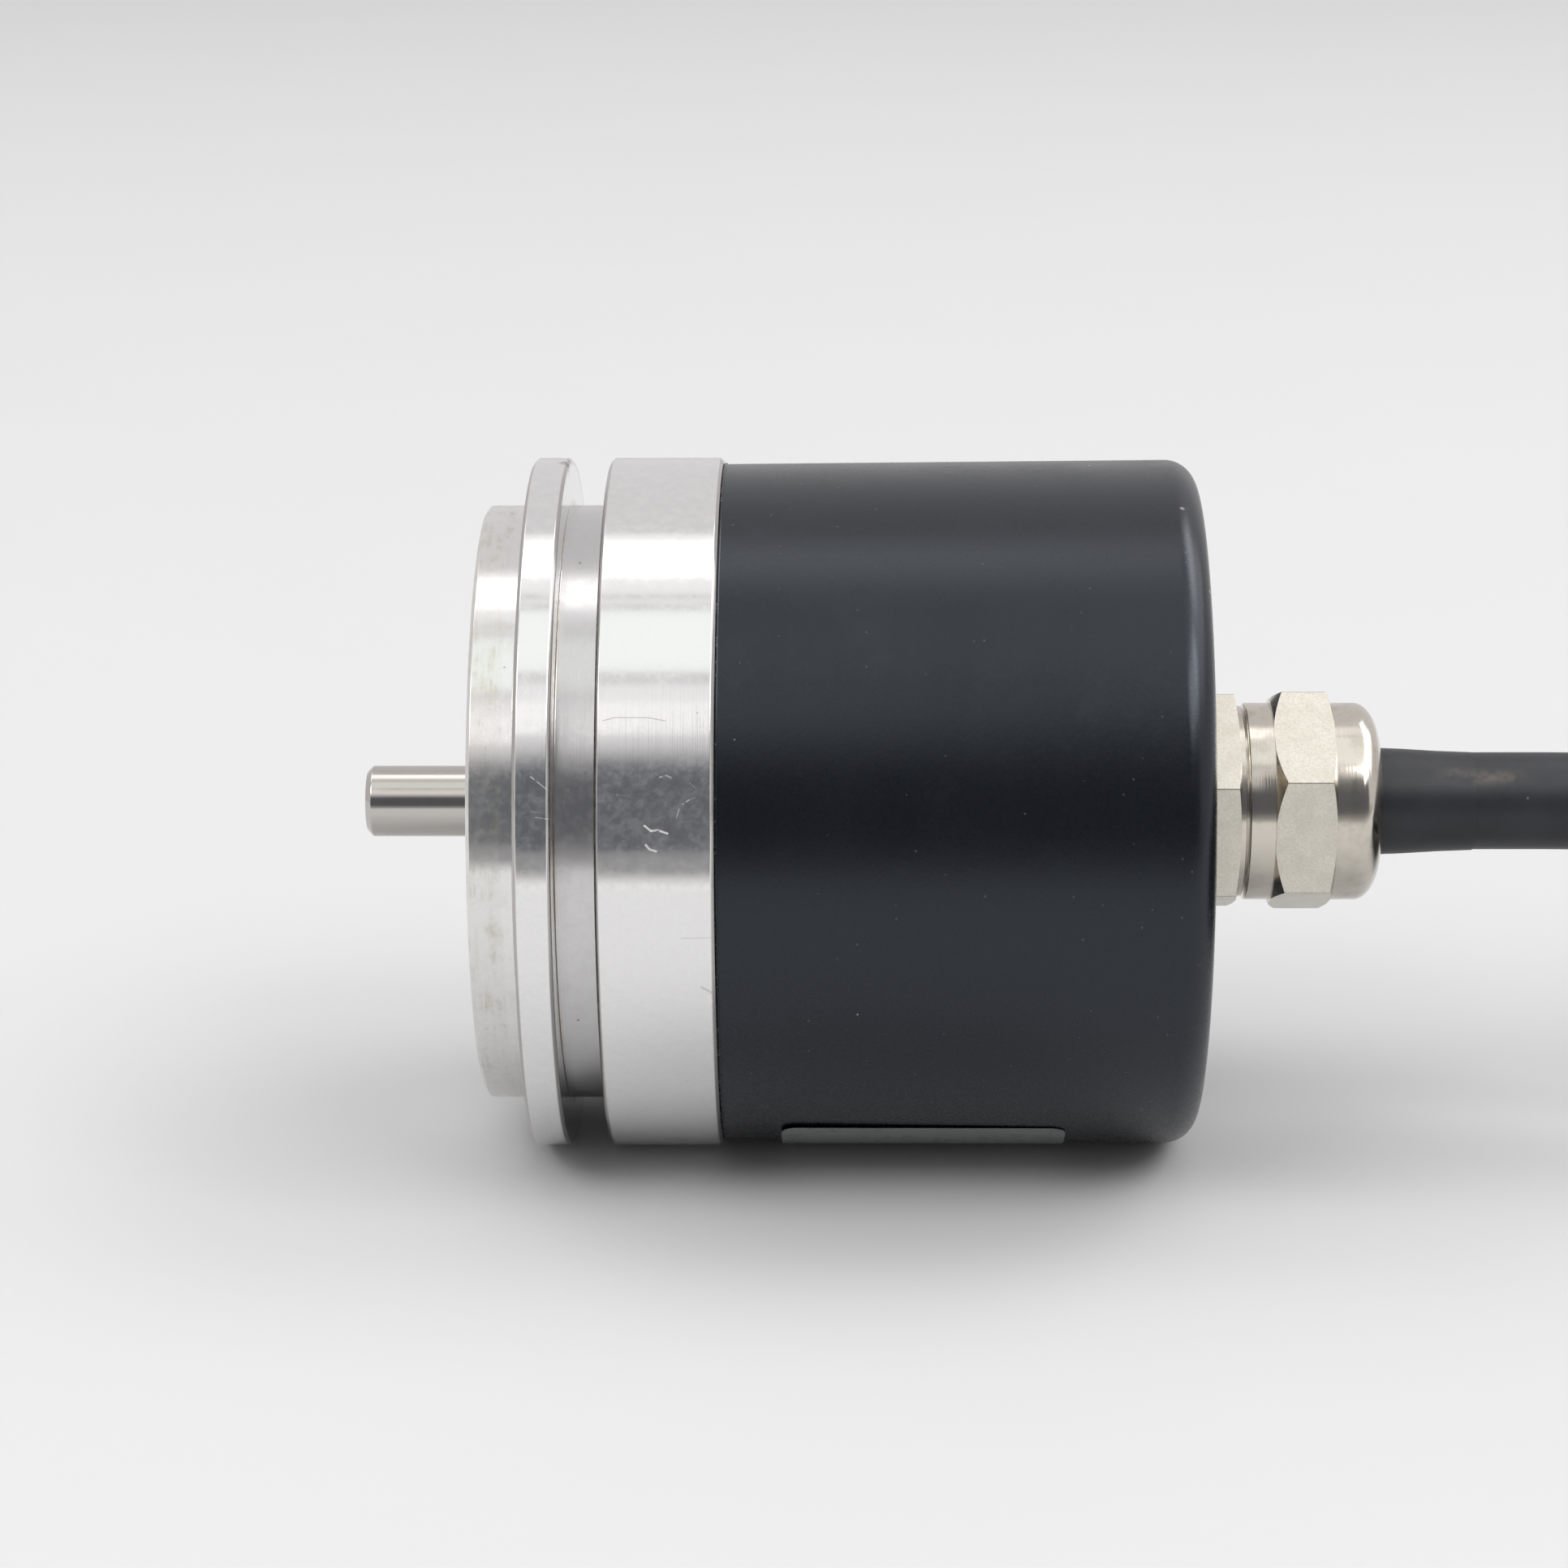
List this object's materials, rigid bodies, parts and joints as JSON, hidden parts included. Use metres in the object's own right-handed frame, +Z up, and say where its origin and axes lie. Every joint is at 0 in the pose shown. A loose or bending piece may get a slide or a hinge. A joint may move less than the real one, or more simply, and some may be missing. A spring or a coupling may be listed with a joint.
{
  "type": "rotary encoder",
  "caption": "Shaft rotary encoder with a synchro flange, clamp groove, dark cup-shaped cover, axial cable gland and coiled cable; optical disc and bearings inside.",
  "frame": {"origin": "on the shaft axis, in the plane of the mounting lip's front face, where the pilot meets it", "axes": "+X along the shaft axis from the shaft's end towards the cable gland, +Z up, as the encoder lies on its side on a surface, +Y away from the side that carries the nameplate"},
  "size_m": [0.2232, 0.1019, 0.058],
  "materials": {
    "turned_aluminium": "fine turned, bright",
    "ground_steel": "ground",
    "seal_rubber": "matte",
    "bearing_steel": "polished",
    "cage_brass": "satin",
    "spacer_steel": "turned",
    "spring_steel": "dark oiled",
    "hub_brass": "turned",
    "screw_steel": "zinc plated",
    "disc_glass": "clear, with a printed line track",
    "lens_glass": "clear",
    "emitter_resin": "tinted resin",
    "black_plastic": "moulded",
    "chip_plastic": "moulded",
    "board_resin": "green solder resist",
    "header_plastic": "moulded",
    "core_plastic": "coloured core insulation",
    "dark_paint": "satin blue-black, fine texture",
    "label_foil": "silver-grey foil, blank",
    "gland_nickel": "nickel plated brass, satin",
    "cable_jacket": "matte PVC jacket",
    "tie_plastic": "woven strap"
  },
  "bodies": {
    "housing": {"flange": "turned_aluminium", "shaft_seal": "seal_rubber", "front_bearing_outer_ring": "bearing_steel", "rear_bearing_outer_ring": "bearing_steel", "outer_spacer": "spacer_steel", "preload_washer": "spring_steel", "bearing_retaining_ring": "spring_steel", "lamp_holder": "black_plastic", "lamp_screws": "screw_steel", "led_emitter": "emitter_resin", "collimator_lens": "lens_glass", "scanning_mask": "disc_glass", "sensor_chip": "chip_plastic", "circuit_board": "board_resin", "board_components": "chip_plastic", "board_standoffs": "hub_brass", "board_screws": "screw_steel", "wire_header": "header_plastic", "inner_leads": "core_plastic", "cover": "dark_paint", "cover_o_ring": "seal_rubber", "nameplate": "label_foil", "gland_body": "gland_nickel", "gland_locknut": "gland_nickel", "gland_o_ring": "seal_rubber", "gland_claw": "black_plastic", "gland_seal": "seal_rubber", "gland_nut": "gland_nickel", "cable_run": "cable_jacket", "cable_coil": "cable_jacket", "coil_ties": "tie_plastic", "lead_ends": "core_plastic"},
    "rotor": {"shaft": "ground_steel", "front_bearing_inner_ring": "bearing_steel", "rear_bearing_inner_ring": "bearing_steel", "inner_spacer": "spacer_steel", "shaft_retaining_ring": "spring_steel", "disc_hub": "hub_brass", "hub_set_screws": "screw_steel", "code_disc": "disc_glass", "disc_clamp_ring": "hub_brass"},
    "front_cage": {"front_bearing_balls": "bearing_steel", "front_bearing_cage": "cage_brass"},
    "rear_cage": {"rear_bearing_balls": "bearing_steel", "rear_bearing_cage": "cage_brass"}
  },
  "joints": [
    {"name": "shaft_spin", "type": "hinge", "parent": "housing", "child": "rotor", "pos_m": [0, 0, 0], "axis": [1, 0, 0], "continuous": true},
    {"name": "front_cage_spin", "type": "hinge", "parent": "housing", "child": "front_cage", "pos_m": [0.0032, 0, 0], "axis": [1, 0, 0], "continuous": true},
    {"name": "rear_cage_spin", "type": "hinge", "parent": "housing", "child": "rear_cage", "pos_m": [0.0152, 0, 0], "axis": [1, 0, 0], "continuous": true}
  ],
  "couplings": [
    {"joint": "front_cage_spin", "follows": "shaft_spin", "ratio": 0.36},
    {"joint": "rear_cage_spin", "follows": "shaft_spin", "ratio": 0.36}
  ]
}
